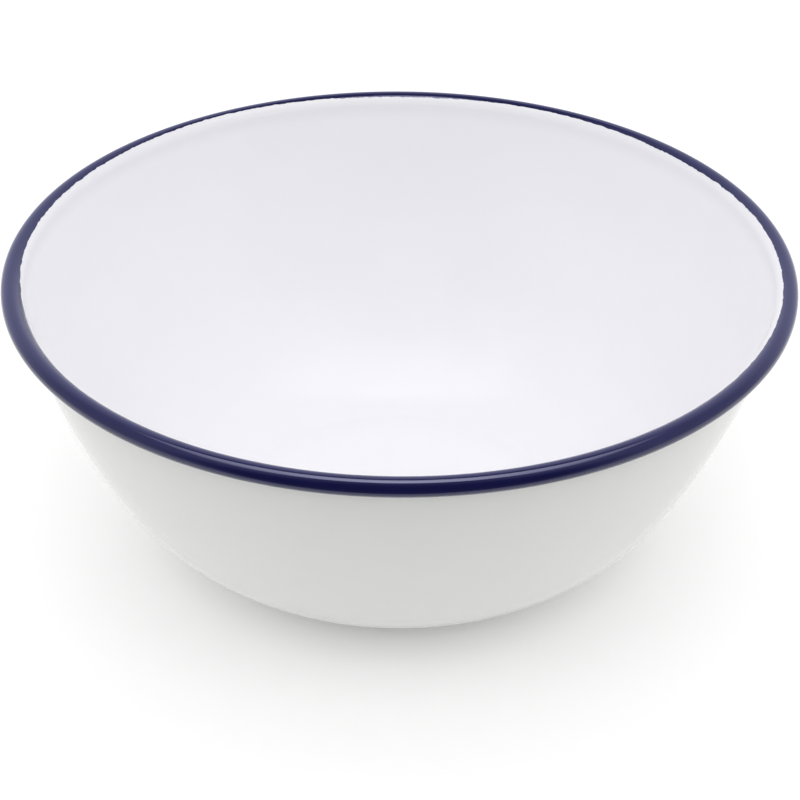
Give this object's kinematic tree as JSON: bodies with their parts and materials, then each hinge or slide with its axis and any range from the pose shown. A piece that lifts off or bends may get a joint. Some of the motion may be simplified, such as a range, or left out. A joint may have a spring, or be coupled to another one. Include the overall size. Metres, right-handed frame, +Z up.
{
  "type": "enamel basin bowl",
  "caption": "Round enamelled steel bowl with a flat base, a curved flaring wall and a rolled coloured rim, for mixing, washing or serving.",
  "frame": {"origin": "centre of the flat base, on the surface the bowl stands on", "axes": "+Z up along the bowl's axis of revolution; the bowl is round, so +X and +Y are free, and the picture looks along +Y"},
  "size_m": [0.24, 0.24, 0.095],
  "materials": {
    "steel_sheet": "matte",
    "ground_enamel": "satin",
    "white_enamel": "gloss",
    "blue_enamel": "gloss"
  },
  "bodies": {
    "root": {"steel_bowl": "steel_sheet", "inner_ground_coat": "ground_enamel", "outer_ground_coat": "ground_enamel", "inner_white_enamel": "white_enamel", "outer_white_enamel": "white_enamel", "blue_rim_enamel": "blue_enamel"}
  },
  "joints": []
}
